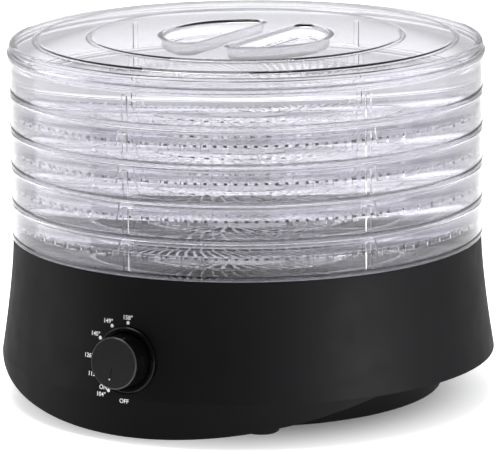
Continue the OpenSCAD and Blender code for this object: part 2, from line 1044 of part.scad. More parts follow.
base_housing();
base_deck();
deck_screws();
air_outlet_grille();
bottom_cover();
feet();
bottom_screws();
cord_gland();
terminal_block();
wiring();
dial_collar();
thermostat_body();
thermostat_nut();
thermal_fuse();
fan_duct();
heater_frame();
heater_coil();
motor_core();
motor_winding();
motor_brackets();
motor_bearings();
motor_screws();
knob();
thermostat_shaft();
fan_impeller();
motor_shaft();
motor_rotor();
tray_wall(tray_seam(1));  // tray_1_wall
tray_floor(tray_seam(1));  // tray_1_floor
tray_wall(tray_seam(2));  // tray_2_wall
tray_floor(tray_seam(2));  // tray_2_floor
tray_wall(tray_seam(3));  // tray_3_wall
tray_floor(tray_seam(3));  // tray_3_floor
tray_wall(tray_seam(4));  // tray_4_wall
tray_floor(tray_seam(4));  // tray_4_floor
tray_wall(tray_seam(5));  // tray_5_wall
tray_floor(tray_seam(5));  // tray_5_floor
lid();
lid_grip();
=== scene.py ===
import json
import math

import bpy
from mathutils import Matrix, Vector, geometry


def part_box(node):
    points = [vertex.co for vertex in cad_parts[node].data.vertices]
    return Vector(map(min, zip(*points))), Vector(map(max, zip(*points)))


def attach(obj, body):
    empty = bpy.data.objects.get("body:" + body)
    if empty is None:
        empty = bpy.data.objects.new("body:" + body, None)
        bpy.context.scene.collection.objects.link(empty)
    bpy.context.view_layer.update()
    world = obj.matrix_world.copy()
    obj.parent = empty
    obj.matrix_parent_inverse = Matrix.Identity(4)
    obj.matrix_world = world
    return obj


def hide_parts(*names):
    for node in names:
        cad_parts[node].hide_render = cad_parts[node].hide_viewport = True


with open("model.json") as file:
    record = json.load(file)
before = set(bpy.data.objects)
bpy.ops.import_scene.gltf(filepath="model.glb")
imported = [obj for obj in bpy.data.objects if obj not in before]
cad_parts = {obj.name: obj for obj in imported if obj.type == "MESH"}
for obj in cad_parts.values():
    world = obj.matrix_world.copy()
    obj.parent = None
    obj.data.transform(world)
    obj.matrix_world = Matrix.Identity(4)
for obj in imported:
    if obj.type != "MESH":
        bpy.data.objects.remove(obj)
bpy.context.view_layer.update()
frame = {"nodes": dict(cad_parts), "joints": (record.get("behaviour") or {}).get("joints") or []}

NODES = frame["nodes"]
MM = 0.001


# ---------------------------------------------------------------- sizes, in millimetres

def span(node):
    """Lowest and highest corner of a CAD node, in millimetres."""
    low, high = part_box(node)
    return low / MM, high / MM


TRAYS = 5
SEAM_1 = span("base_housing")[1].z
SEAM_2 = SEAM_1 + (span("tray_2_floor")[0].z - span("tray_1_floor")[0].z)
PITCH = SEAM_2 - SEAM_1
LID_LOW, LID_HIGH = span("lid")
LID_SEAM = LID_LOW.z
LID_H = LID_HIGH.z - LID_SEAM
TRAY_BAND_R = span("tray_1_wall")[1].x
TRAY_R = TRAY_BAND_R - 0.5
FLOOR_R = span("tray_1_floor")[1].x
FLOOR_TOP = span("tray_1_floor")[1].z - SEAM_1
BASKET_LOW = span("tray_1_wall")[0].z - SEAM_1
WALL_H = span("tray_1_wall")[1].z - SEAM_1
CLEAR_T = 2.0
SKIRT_R = span("base_housing")[1].x


# ---------------------------------------------------------------- camera, lights, floor

def aim(obj, point):
    """Turns a camera or a light towards a point."""
    obj.rotation_euler = (Vector(point) - obj.location).to_track_quat("-Z", "Y").to_euler()


def make_camera():
    """A long lens from in front and a little above, turned a little about its own axis."""
    elevation = math.radians(12.24)
    reach = 2.73
    roll = Matrix.Rotation(math.radians(-0.474), 3, "Z")
    target = Vector((0.0017, 0.0, 0.1069))
    data = bpy.data.cameras.new("camera")
    data.lens = 302.1
    data.sensor_width = 36.0
    camera = bpy.data.objects.new("camera", data)
    camera.location = target + Vector((0, -math.cos(elevation), math.sin(elevation))) * reach
    bpy.context.scene.collection.objects.link(camera)
    aim(camera, target)
    camera.rotation_euler = (camera.rotation_euler.to_matrix() @ roll).to_euler()
    bpy.context.scene.camera = camera


def area_light(name, place, target, width, height, watts):
    """A white rectangular lamp."""
    data = bpy.data.lights.new(name, "AREA")
    data.shape = "RECTANGLE"
    data.size = width
    data.size_y = height
    data.energy = watts
    light = bpy.data.objects.new(name, data)
    light.location = place
    bpy.context.scene.collection.objects.link(light)
    aim(light, target)
    return light


def mapped(tree, value, start, end, low, high, smooth=False):
    """Maps start..end of a value to low..high."""
    node = tree.nodes.new("ShaderNodeMapRange")
    if smooth:
        node.interpolation_type = "SMOOTHSTEP"
    node.inputs["From Min"].default_value = start
    node.inputs["From Max"].default_value = end
    node.inputs["To Min"].default_value = low
    node.inputs["To Max"].default_value = high
    tree.links.new(value, node.inputs["Value"])
    return node.outputs["Result"]


def maths(tree, operation, *values):
    """A Math node, fed by sockets or plain numbers."""
    node = tree.nodes.new("ShaderNodeMath")
    node.operation = operation
    for socket, value in zip(node.inputs, values):
        if isinstance(value, float):
            socket.default_value = value
        else:
            tree.links.new(value, socket)
    return node.outputs["Value"]


def off_axis(tree, x, shift):
    """How far x is from -shift."""
    return maths(tree, "ABSOLUTE", maths(tree, "ADD", x, shift))


def make_world():
    """Bright behind the object, dimmer at its sides, and dark behind the camera."""
    world = bpy.data.worlds.new("studio")
    world.use_nodes = True
    tree = world.node_tree
    background = tree.nodes["Background"]
    background.inputs["Color"].default_value = (0.97, 0.975, 1.0, 1)
    split = tree.nodes.new("ShaderNodeSeparateXYZ")
    tree.links.new(tree.nodes.new("ShaderNodeTexCoord").outputs["Generated"], split.inputs["Vector"])
    behind = mapped(tree, split.outputs["Y"], -0.5, 0.3, 0.15, 0.68)
    beside = mapped(tree, off_axis(tree, split.outputs["X"], 0.06), 0.2, 0.6, 1.0, 0.65)
    tree.links.new(maths(tree, "MULTIPLY", behind, beside), background.inputs["Strength"])
    bpy.context.scene.world = world


def make_lights(floor):
    """Soft lamps above and on both sides."""
    centre = (0, 0, 0.1)
    area_light("top_softbox", (-0.3, 0.2, 2.2), centre, 1.3, 1.3, 35)
    area_light("left_softbox", (-2.1, 0.4, 0.9), centre, 1.8, 1.8, 14)
    area_light("right_softbox", (1.9, -1.0, 1.2), centre, 2.2, 2.2, 10)
    # The strips light the housing and the floor alone, so that no lamp shows in the clear trays
    strips = [area_light("right_strip", (1.7, -1.3, 0.25), centre, 0.9, 0.45, 82),
              area_light("left_strip", (-2.0, 0.2, 0.25), centre, 0.9, 0.45, 16)]
    lit = bpy.data.collections.new("lit_by_strips")
    for obj in (NODES["base_housing"], floor):
        lit.objects.link(obj)
    for strip in strips:
        strip.light_linking.receiver_collection = lit


def make_floor():
    """A pale floor that glows away from the object, so that it goes white there."""
    size = 14.0
    mesh = bpy.data.meshes.new("floor")
    corners = [(-size, -size, 0), (size, -size, 0), (size, size, 0), (-size, size, 0)]
    mesh.from_pydata(corners, [], [(0, 1, 2, 3)])
    floor = bpy.data.objects.new("floor", mesh)
    bpy.context.scene.collection.objects.link(floor)
    material = bpy.data.materials.new("pale_floor")
    material.use_nodes = True
    tree = material.node_tree
    shader = tree.nodes["Principled BSDF"]
    shader.inputs["Base Color"].default_value = (0.9, 0.9, 0.905, 1)
    shader.inputs["Roughness"].default_value = 0.75
    shader.inputs["Emission Color"].default_value = (1, 1, 1, 1)
    where = tree.nodes.new("ShaderNodeTexCoord").outputs["Object"]
    distance = tree.nodes.new("ShaderNodeVectorMath")
    distance.operation = "LENGTH"
    split = tree.nodes.new("ShaderNodeSeparateXYZ")
    tree.links.new(where, distance.inputs[0])
    tree.links.new(where, split.inputs["Vector"])
    away = mapped(tree, distance.outputs["Value"], 0.1, 0.18, 0.0, 0.68, smooth=True)
    behind = mapped(tree, split.outputs["Y"], -0.5, -0.25, 0.0, 1.0, smooth=True)
    beside = mapped(tree, off_axis(tree, split.outputs["X"], 0.03), 0.2, 0.5, 1.0, 0.28, smooth=True)
    glow = maths(tree, "MULTIPLY", maths(tree, "MULTIPLY", away, behind), beside)
    tree.links.new(glow, shader.inputs["Emission Strength"])
    mesh.materials.append(material)
    return floor


def set_look():
    """Enough bounces for light to pass through the whole stack of clear trays."""
    scene = bpy.context.scene
    scene.view_settings.view_transform = "Standard"
    scene.cycles.use_denoising = True
    scene.cycles.max_bounces = 28
    scene.cycles.transmission_bounces = 28
    scene.cycles.glossy_bounces = 6
    scene.cycles.transparent_max_bounces = 24
    scene.cycles.sample_clamp_indirect = 6


# ---------------------------------------------------------------- materials

# The range that most of a noise texture's values lie in
NOISE_MIDDLE = (0.3, 0.7)


class Paint:
    """A node material built step by step around one Principled shader."""

    def __init__(self, name, colour, roughness):
        self.material = bpy.data.materials.new(name)
        self.material.use_nodes = True
        self.tree = self.material.node_tree
        self.shader = self.tree.nodes["Principled BSDF"]
        self.set("Base Color", (*colour, 1))
        self.set("Roughness", roughness)
        self.where = self.tree.nodes.new("ShaderNodeTexCoord").outputs["Object"]

    def set(self, socket, value):
        """One plain value on the shader."""
        self.shader.inputs[socket].default_value = value
        return self

    def spread(self, noise, low, high):
        """The middle of a noise's range, taken to low..high."""
        start, end = NOISE_MIDDLE
        return mapped(self.tree, noise, start, end, low, high)

    def noise(self, scale, detail=4.0, stretch=None):
        """A noise value at a scale per metre, stretched along an axis if asked."""
        node = self.tree.nodes.new("ShaderNodeTexNoise")
        node.inputs["Scale"].default_value = scale
        node.inputs["Detail"].default_value = detail
        place = self.where
        if stretch:
            mapping = self.tree.nodes.new("ShaderNodeMapping")
            mapping.inputs["Scale"].default_value = stretch
            self.tree.links.new(place, mapping.inputs["Vector"])
            place = mapping.outputs["Vector"]
        self.tree.links.new(place, node.inputs["Vector"])
        return node.outputs["Fac"]

    def rough(self, value, low, high):
        """Roughness that wanders between two values."""
        self.tree.links.new(self.spread(value, low, high), self.shader.inputs["Roughness"])
        return self

    def tint(self, value, dark, light):
        """Colour that wanders between two tones."""
        node = self.tree.nodes.new("ShaderNodeMix")
        node.data_type = "RGBA"
        self.tree.links.new(self.spread(value, 0, 1), node.inputs["Factor"])
        node.inputs["A"].default_value = (*dark, 1)
        node.inputs["B"].default_value = (*light, 1)
        self.tree.links.new(node.outputs["Result"], self.shader.inputs["Base Color"])
        return self

    def bump(self, value, depth_mm, strength=1.0):
        """Relief in the surface, as deep as the value says."""
        node = self.tree.nodes.new("ShaderNodeBump")
        node.inputs["Distance"].default_value = depth_mm * MM
        node.inputs["Strength"].default_value = strength
        self.tree.links.new(value, node.inputs["Height"])
        self.tree.links.new(node.outputs["Normal"], self.shader.inputs["Normal"])
        return self


def moulded_black(name, dark, light, rough_low, rough_high, grain_mm, shine=0.05):
    """Black moulded plastic with a fine spark-eroded texture."""
    paint = Paint(name, dark, rough_low)
    paint.set("IOR", 1.46)
    paint.set("Specular IOR Level", shine)
    paint.tint(paint.noise(9, 3), dark, light)
    paint.rough(paint.noise(60, 5), rough_low, rough_high)
    paint.bump(paint.noise(2600, 2), grain_mm)
    return paint.material


def satin_black(name):
    """The smoother plastic of the knob and its collar."""
    return moulded_black(name, (0.003, 0.003, 0.0033), (0.0045, 0.0045, 0.005), 0.22, 0.29, 0.005, 0.24)


def knob_black():
    """The knob's satin plastic, with a painted highlight that makes it paler along the edge of its face."""
    material = satin_black("knob_black")
    points = [v.co / MM - DIAL_AT for v in NODES["knob"].data.vertices]
    knob_r = max(p.cross(DIAL_OUT).length for p in points)
    face_z = max(p.dot(DIAL_OUT) for p in points)
    tree = material.node_tree
    base_colour = tree.nodes["Principled BSDF"].inputs["Base Color"]
    inward = tree.nodes.new("ShaderNodeVectorMath")
    inward.operation = "SUBTRACT"
    inward.inputs[1].default_value = DIAL_AT * MM
    tree.links.new(tree.nodes.new("ShaderNodeTexCoord").outputs["Object"], inward.inputs[0])
    measures = {}
    for operation, output in (("DOT_PRODUCT", "Value"), ("CROSS_PRODUCT", "Vector")):
        node = tree.nodes.new("ShaderNodeVectorMath")
        node.operation = operation
        node.inputs[1].default_value = DIAL_OUT
        tree.links.new(inward.outputs["Vector"], node.inputs[0])
        measures[operation] = node.outputs[output]
    radius = tree.nodes.new("ShaderNodeVectorMath")
    radius.operation = "LENGTH"
    tree.links.new(measures["CROSS_PRODUCT"], radius.inputs[0])
    from_r, from_z, fade = knob_r - 1.2, face_z - 1.0, 0.6
    near_edge = mapped(tree, radius.outputs["Value"], from_r * MM, (from_r + fade) * MM, 0.0, 1.0)
    near_face = mapped(tree, measures["DOT_PRODUCT"], from_z * MM, (from_z + fade) * MM, 0.0, 1.0)
    # Painted highlight: the base colour turns paler in a thin ring at the edge of the face
    painted_rim_highlight = tree.nodes.new("ShaderNodeMix")
    painted_rim_highlight.data_type = "RGBA"
    tree.links.new(maths(tree, "MULTIPLY", near_edge, near_face), painted_rim_highlight.inputs["Factor"])
    tree.links.new(base_colour.links[0].from_socket, painted_rim_highlight.inputs["A"])
    painted_rim_highlight.inputs["B"].default_value = (0.07, 0.07, 0.074, 1)
    tree.links.new(painted_rim_highlight.outputs["Result"], base_colour)
    return material


def clear_plastic(name, tint):
    """Clear moulded plastic, a little wavy."""
    paint = Paint(name, tint, 0.03)
    paint.set("IOR", 1.47)
    paint.set("Transmission Weight", 1.0)
    paint.rough(paint.noise(45, 3), 0.0, 0.012)
    paint.bump(paint.noise(12, 0), 0.01, 0.12)
    return paint.material


def metal(name, dark, light, rough_low, rough_high, stretch=None):
    """Metal with a fine grain, drawn out along an axis if asked."""
    paint = Paint(name, dark, rough_low)
    paint.set("Metallic", 1.0)
    grain = paint.noise(400, 6, stretch)
    paint.tint(grain, dark, light)
    paint.rough(grain, rough_low, rough_high)
    paint.bump(grain, 0.02)
    return paint.material


def dull(name, dark, light, rough_low, rough_high, scale=200, depth_mm=0.05):
    """Rubber, ink, mica and the like."""
    paint = Paint(name, dark, rough_low)
    grain = paint.noise(scale, 5)
    paint.tint(grain, dark, light)
    paint.rough(grain, rough_low, rough_high)
    paint.bump(grain, depth_mm)
    return paint.material


def make_materials():
    """Every finish, by its short name."""
    return {
        "housing": moulded_black(
            "housing_black", (0.0035, 0.0035, 0.0038), (0.0045, 0.0045, 0.005), 0.5, 0.58, 0.012),
        "inner": moulded_black("inner_black", (0.009, 0.009, 0.01), (0.013, 0.013, 0.014), 0.5, 0.62, 0.03),
        "collar": satin_black("collar_black"),
        "knob": knob_black(),
        "clear": clear_plastic("clear_tray", (0.935, 0.93, 0.955)),
        "rubber": dull("foot_rubber", (0.008, 0.008, 0.008), (0.016, 0.016, 0.016), 0.75, 0.9),
        "print": dull("dial_print", (0.9, 0.9, 0.9), (0.95, 0.95, 0.95), 0.5, 0.6, 900, 0.01),
        "steel": metal("zinc_steel", (0.5, 0.5, 0.52), (0.66, 0.66, 0.68), 0.3, 0.45),
        "sheet": metal("duct_sheet", (0.5, 0.51, 0.53), (0.64, 0.65, 0.67), 0.32, 0.48, (1, 1, 0.1)),
        "laminations": metal("laminations", (0.2, 0.2, 0.21), (0.42, 0.42, 0.44), 0.4, 0.6, (0.02, 0.02, 6)),
        "coil": metal("resistance_wire", (0.2, 0.18, 0.17), (0.36, 0.33, 0.31), 0.45, 0.6),
        "copper": metal("winding", (0.32, 0.13, 0.05), (0.5, 0.2, 0.08), 0.3, 0.45, (8, 0.3, 0.3)),
        "bronze": metal("bearing_bronze", (0.42, 0.27, 0.12), (0.55, 0.37, 0.18), 0.35, 0.5),
        "rotor": metal("rotor", (0.45, 0.46, 0.48), (0.6, 0.61, 0.62), 0.3, 0.42),
        "mica": dull("mica", (0.42, 0.36, 0.22), (0.6, 0.53, 0.35), 0.4, 0.7, 120, 0.1),
        "phenolic": dull("phenolic", (0.03, 0.02, 0.017), (0.05, 0.034, 0.028), 0.35, 0.5),
        "terminal": dull("terminal_plastic", (0.55, 0.54, 0.5), (0.66, 0.65, 0.6), 0.4, 0.5),
        "wire": dull("wire_sleeve", (0.42, 0.38, 0.32), (0.6, 0.56, 0.5), 0.6, 0.8, 900, 0.1),
        "ceramic": dull("fuse_ceramic", (0.5, 0.42, 0.28), (0.62, 0.54, 0.4), 0.3, 0.4),
    }


# ---------------------------------------------------------------- mesh helpers

def new_piece(name, verts, faces, material, smooth_angle=32):
    """A mesh object from points in millimetres, with one material."""
    mesh = bpy.data.meshes.new(name)
    mesh.from_pydata([(x * MM, y * MM, z * MM) for x, y, z in verts], [], faces)
    mesh.validate()
    mesh.update()
    obj = bpy.data.objects.new(name, mesh)
    bpy.context.scene.collection.objects.link(obj)
    mesh.materials.append(material)
    shade(obj, smooth_angle)
    return obj


def shade(obj, angle):
    """Smooth shading, with creases sharper than the angle left crisp."""
    for polygon in obj.data.polygons:
        polygon.use_smooth = True
    obj.data.set_sharp_from_angle(angle=math.radians(angle))


def add_bevel(obj, width_mm, segments=2, angle=40):
    """Rounds the edges that are sharper than the angle."""
    bevel = obj.modifiers.new("soft_edges", "BEVEL")
    bevel.width = width_mm * MM
    bevel.segments = segments
    bevel.limit_method = "ANGLE"
    bevel.angle_limit = math.radians(angle)
    bevel.harden_normals = False


def arc(cx, cy, r, start, end, steps):
    """Points on an arc, angles in degrees."""
    turns = [math.radians(start + (end - start) * i / steps) for i in range(steps + 1)]
    return [(cx + r * math.cos(t), cy + r * math.sin(t)) for t in turns]


class Weld:
    """Collects faces and shares the points that coincide."""

    STEPS_PER_MM = 2000

    def __init__(self):
        self.points = []
        self.faces = []
        self.known = {}

    def at(self, point):
        """The number of a point, which is the same for all points on one step of a fine grid."""
        key = tuple(round(c * self.STEPS_PER_MM) for c in point)
        if key not in self.known:
            self.known[key] = len(self.points)
            self.points.append(point)
        return self.known[key]

    def face(self, points):
        """One face, or none where its points have run together."""
        corners = []
        for p in points:
            i = self.at(p)
            if i not in corners:
                corners.append(i)
        if len(corners) > 2:
            self.faces.append(corners)

    def band(self, low, high):
        """Quads between two closed rings of points."""
        count = len(low)
        for i in range(count):
            j = (i + 1) % count
            self.face([low[i], low[j], high[j], high[i]])


def turned(r, z, degrees):
    """A point at radius r, height z and a turn from the front, positive to the viewer's right."""
    t = math.radians(degrees)
    return (r * math.sin(t), -r * math.cos(t), z)


# ---------------------------------------------------------------- trays

VENT_PITCHES = 72
SECTORS = 6
VENT_W = 4.6
VENT_TOP = -8.6
NOTCH_TOP = -2.6
NOTCH_W = (11.0, 15.0)
RIB_W = 3.4
RIB_TOP = 20.0
RIB_DEPTH = 2.0
RIB_SLOPE = (0.5, 0.8)
WALL_STEP = 1.25
BAND_TOP = 3.0
WEB_TOP = 2.2
# Radii of the wall's inside, and of the outside and the inside of the basket that hangs under it
INNER_R = TRAY_R - CLEAR_T
BASKET_R = INNER_R - 1.4
HANG_R = BASKET_R - 1.5
BASKET_MIDDLE_R = FLOOR_R + 0.75
SECTOR_TURNS = [30 + 60 * n for n in range(SECTORS)]


def half_turn(width):
    """Half the turn that a width takes up along the basket."""
    return math.degrees(width / 2 / BASKET_MIDDLE_R)


def tray_profile(lower, rib):
    """Half section of a tray wall, z from its seam. lower is full, vent or notch."""
    inner, basket, hang, band, web = INNER_R, BASKET_R, HANG_R, BAND_TOP, WEB_TOP
    outside = [
        (basket, 0.0), (TRAY_BAND_R - 0.5, 0.0), (TRAY_BAND_R - 0.13, 0.15), (TRAY_BAND_R, 0.55),
        (TRAY_BAND_R, band - 0.4), (TRAY_BAND_R - 0.15, band), (TRAY_R, band + 0.4),
        (TRAY_R, WALL_H - 2.5), (TRAY_BAND_R - 0.2, WALL_H - 2.0), (TRAY_BAND_R - 0.1, WALL_H - 1.6),
        (TRAY_BAND_R - 0.1, WALL_H - 0.6), (TRAY_BAND_R - 0.25, WALL_H - 0.2), (TRAY_BAND_R - 0.6, WALL_H),
        (inner + 0.4, WALL_H), (inner + 0.1, WALL_H - 0.15), (inner, WALL_H - 0.5)]
    inside = [(inner, RIB_TOP)]
    if rib:
        rib_r = inner - RIB_DEPTH
        inside += [(rib_r + RIB_SLOPE[0], RIB_TOP), (rib_r, RIB_TOP - RIB_SLOPE[1]), (rib_r, web)]
    else:
        inside += [(inner, web)]
    inside += [(hang + 0.3, web), (hang, web - 0.3), (hang, NOTCH_TOP)]
    if lower == "notch":
        return outside + inside + [(basket, NOTCH_TOP)]
    inside += [(hang, VENT_TOP)]
    if lower == "vent":
        return outside + inside + [(basket, VENT_TOP), (basket, NOTCH_TOP)]
    tooth = [(hang, BASKET_LOW), (basket, BASKET_LOW)]
    return outside + inside + tooth + [(basket, VENT_TOP), (basket, NOTCH_TOP)]


def tray_slices():
    """Turns where the section changes, with the section from each turn on."""
    pitch = 360 / VENT_PITCHES
    half_vent, half_notch = half_turn(VENT_W), half_turn(NOTCH_W[0])
    half_rib = math.degrees(RIB_W / 2 / TRAY_R)
    cuts = []
    for centre in SECTOR_TURNS:
        cuts += [(centre - half_notch, "notch", False), (centre - half_rib, "notch", True)]
        cuts += [(centre + half_rib, "notch", False), (centre + half_notch, "full", False)]
        for k in range(1, VENT_PITCHES // SECTORS):
            middle = centre + k * pitch
            cuts += [(middle - half_vent, "vent", False), (middle + half_vent, "full", False)]
    return cuts


def notch_lean(turn, z, centre, side):
    """Turn of a notch's side at height z: the notch widens downwards."""
    depth = (NOTCH_TOP - z) / (NOTCH_TOP - BASKET_LOW)
    if z >= NOTCH_TOP:
        return turn
    return centre + side * half_turn(NOTCH_W[0] + (NOTCH_W[1] - NOTCH_W[0]) * depth)


def build_tray_wall():
    """The wall with its band, ribs and vented basket, as one closed moulding."""
    weld = Weld()
    cuts = tray_slices()
    digits = 6
    notch_sides = {}
    for centre in SECTOR_TURNS:
        for side in (-1, 1):
            notch_sides[round(centre + side * half_turn(NOTCH_W[0]), digits)] = (centre, side)

    def place(r, z, turn):
        """A point of the wall, moved along where it is on a notch's leaning side."""
        if round(turn, digits) in notch_sides and r < INNER_R - 1:
            centre, side = notch_sides[round(turn, digits)]
            turn = notch_lean(turn, z, centre, side)
        return turned(r, z, turn)

    for i, (start, lower, rib) in enumerate(cuts):
        end = cuts[(i + 1) % len(cuts)][0]
        if i + 1 == len(cuts):
            end += 360
        section = tray_profile(lower, rib)
        steps = max(1, math.ceil((end - start) / WALL_STEP))
        turns = [start + (end - start) * k / steps for k in range(steps)]
        turns.append(end - 360 if i + 1 == len(cuts) else end)
        for a, b in zip(turns, turns[1:]):
            for (r0, z0), (r1, z1) in zip(section, section[1:] + section[:1]):
                weld.face([place(r0, z0, a), place(r0, z0, b), place(r1, z1, b), place(r1, z1, a)])
        # The flat faces where this section meets the one before
        before, before_rib = cuts[i - 1][1], cuts[i - 1][2]
        flip = lower == "full"
        if before != lower:
            low = [BASKET_LOW, VENT_TOP] if "vent" in (before, lower) else [BASKET_LOW, VENT_TOP, NOTCH_TOP]
            for z0, z1 in zip(low, low[1:]):
                outline = ((HANG_R, z0), (BASKET_R, z0), (BASKET_R, z1), (HANG_R, z1))
                quad = [place(r, z, start) for r, z in outline]
                weld.face(quad[::-1] if flip else quad)
        if before_rib != rib:
            rib_r = INNER_R - RIB_DEPTH
            outline = [(INNER_R, WEB_TOP), (INNER_R, RIB_TOP), (rib_r + RIB_SLOPE[0], RIB_TOP)]
            outline += [(rib_r, RIB_TOP - RIB_SLOPE[1]), (rib_r, WEB_TOP)]
            side = [place(r, z, start) for r, z in outline]
            weld.face(side if rib else side[::-1])
    return weld


# Rings of the floor: inner radius, outer radius, and the pattern of its cells
FINE = 144
FLOOR_ROWS = [
    (0.0, 7.0, "solid"), (7.0, 22.0, "solid"), (22.0, 25.0, "solid"), (25.0, 40.0, "wide"),
    (40.0, 57.0, "wide"), (57.0, 60.5, "solid"), (60.5, 76.0, "middle"), (76.0, 92.0, "middle"),
    (92.0, 98.0, "middle"), (98.0, 101.5, "solid"), (101.5, 112.0, "fine"), (112.0, 124.0, "fine"),
    (124.0, 136.0, "fine"), (136.0, 142.5, "fine"), (142.5, FLOOR_R - 0.06, "solid")]
SLAT_TILT = 18.0
SLAT_SHARE = 0.34
FLOOR_T = 1.6


def floor_swirl(r):
    """Turn of a slat at radius r: it leans by the same angle all along its length."""
    return math.degrees(math.tan(math.radians(SLAT_TILT)) * math.log(FLOOR_R / max(r, FLOOR_ROWS[0][1])))


def floor_cell_open(pattern, k, is_slat):
    """Whether cell k of the fine division is a gap in this pattern."""
    if pattern == "solid":
        return False
    if pattern == "fine":
        return not is_slat
    if pattern == "middle":
        return not (is_slat and k % 2 == 0)
    return not ((is_slat and k % 4 in (0, 1)) or (not is_slat and k % 4 == 0))


def build_tray_floor():
    """Swirled slats between rings, as one closed moulding."""
    weld = Weld()
    pitch = 360 / FINE
    divisions = []
    for k in range(FINE):
        divisions += [(k * pitch, k, True), ((k + SLAT_SHARE) * pitch, k, False)]
    top, low = FLOOR_TOP, FLOOR_TOP - FLOOR_T
    count = len(divisions)

    def spot(r, division, z):
        """A point of the floor on the swirled line where a division starts."""
        return turned(r, z, divisions[division % count][0] - floor_swirl(r))

    open_cell = []
    for _, _, pattern in FLOOR_ROWS:
        open_cell.append([floor_cell_open(pattern, k, slat) for _, k, slat in divisions])
    for row, (r0, r1, pattern) in enumerate(FLOOR_ROWS):
        for d in range(count):
            if open_cell[row][d]:
                continue
            for z, flip in ((top, False), (low, True)):
                quad = [spot(r0, d, z), spot(r1, d, z), spot(r1, d + 1, z), spot(r0, d + 1, z)]
                weld.face(quad[::-1] if flip else quad)
            if open_cell[row][d - 1]:
                weld.face([spot(r0, d, top), spot(r0, d, low), spot(r1, d, low), spot(r1, d, top)])
            if open_cell[row][(d + 1) % count]:
                weld.face([
                    spot(r0, d + 1, low), spot(r0, d + 1, top), spot(r1, d + 1, top), spot(r1, d + 1, low)])
            if row + 1 == len(FLOOR_ROWS) or open_cell[row + 1][d]:
                weld.face([spot(r1, d, low), spot(r1, d + 1, low), spot(r1, d + 1, top), spot(r1, d, top)])
            if row > 0 and open_cell[row - 1][d]:
                weld.face([spot(r0, d, top), spot(r0, d + 1, top), spot(r0, d + 1, low), spot(r0, d, low)])
    return weld


def make_trays(materials):
    """Five trays that share one wall mesh and one floor mesh."""
    wall, floor = build_tray_wall(), build_tray_floor()
    wall_mesh = floor_mesh = None
    for n in range(1, TRAYS + 1):
        lift = (SEAM_1 + (n - 1) * PITCH) * MM
        if wall_mesh is None:
            side = new_piece("tray_1_clear_wall", wall.points, wall.faces, materials["clear"])
            bottom = new_piece("tray_1_slatted_floor", floor.points, floor.faces, materials["clear"])
            wall_mesh, floor_mesh = side.data, bottom.data
        else:
            side = bpy.data.objects.new(f"tray_{n}_clear_wall", wall_mesh)
            bottom = bpy.data.objects.new(f"tray_{n}_slatted_floor", floor_mesh)
            bpy.context.scene.collection.objects.link(side)
            bpy.context.scene.collection.objects.link(bottom)
        side.location.z = lift
        bottom.location.z = lift
        add_bevel(side, 0.3, 2)
        for piece, node in ((side, f"tray_{n}_wall"), (bottom, f"tray_{n}_floor")):
            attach(piece, f"tray_{n}")
            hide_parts(node)


# ---------------------------------------------------------------- lid

STEP_OUT, STEP_IN = 136.0, 101.6
STEP_H = 1.2
LID_EDGE_R = 150.0
LID_SKIRT_H = 9.0
WELL_R, WELL_DEPTH, WELL_CORNER = 53.0, 8.5, 7.0
BAR_W, BAR_TURN = 26.0, 29.5


def well_ring(side, inset, z):
    """One finger well's outline, drawn in by inset, with round corners."""
    steps, sweep, across = 10, 48, 12
    a, r = BAR_W / 2 + inset, WELL_R - inset
    corner = max(WELL_CORNER - inset, 0.5)
    cx = a + corner
    cy = math.sqrt((r - corner) ** 2 - cx ** 2)
    reach = math.degrees(math.atan2(cy, cx))
    outline = arc(cx, cy, corner, 180, reach, steps)
    outline += arc(0, 0, r, reach, -reach, sweep)[1:]
    outline += arc(cx, -cy, corner, -reach, -180, steps)[1:]
    outline += [(a, -cy + 2 * cy * i / across) for i in range(1, across)]
    t = math.radians(-BAR_TURN)
    return [(side * (x * math.cos(t) - y * math.sin(t)), side * (x * math.sin(t) + y * math.cos(t)), z)
            for x, y in outline]


def well_side(side, top, thick):
    """Rings down one well, from the flat top to its floor; thick is 0 above and the wall's below."""
    lip, foot, draft, flat, quarter = 1.6, 2.2, 0.7, 1.0, 4
    grow = -thick
    rings = [well_ring(side, grow - lip - flat, top), well_ring(side, grow - lip, top)]
    for k in range(1, quarter + 1):
        t = math.radians(90 * k / quarter)
        rings.append(well_ring(side, grow - lip + lip * math.sin(t), top - lip + lip * math.cos(t)))
    floor_z = top - WELL_DEPTH
    for k in range(quarter + 1):
        t = math.radians(90 * k / quarter)
        inset = grow + draft + foot - foot * math.cos(t)
        rings.append(well_ring(side, inset, floor_z + foot - foot * math.sin(t)))
    rings.append(well_ring(side, grow + draft + foot + flat, floor_z))
    return rings


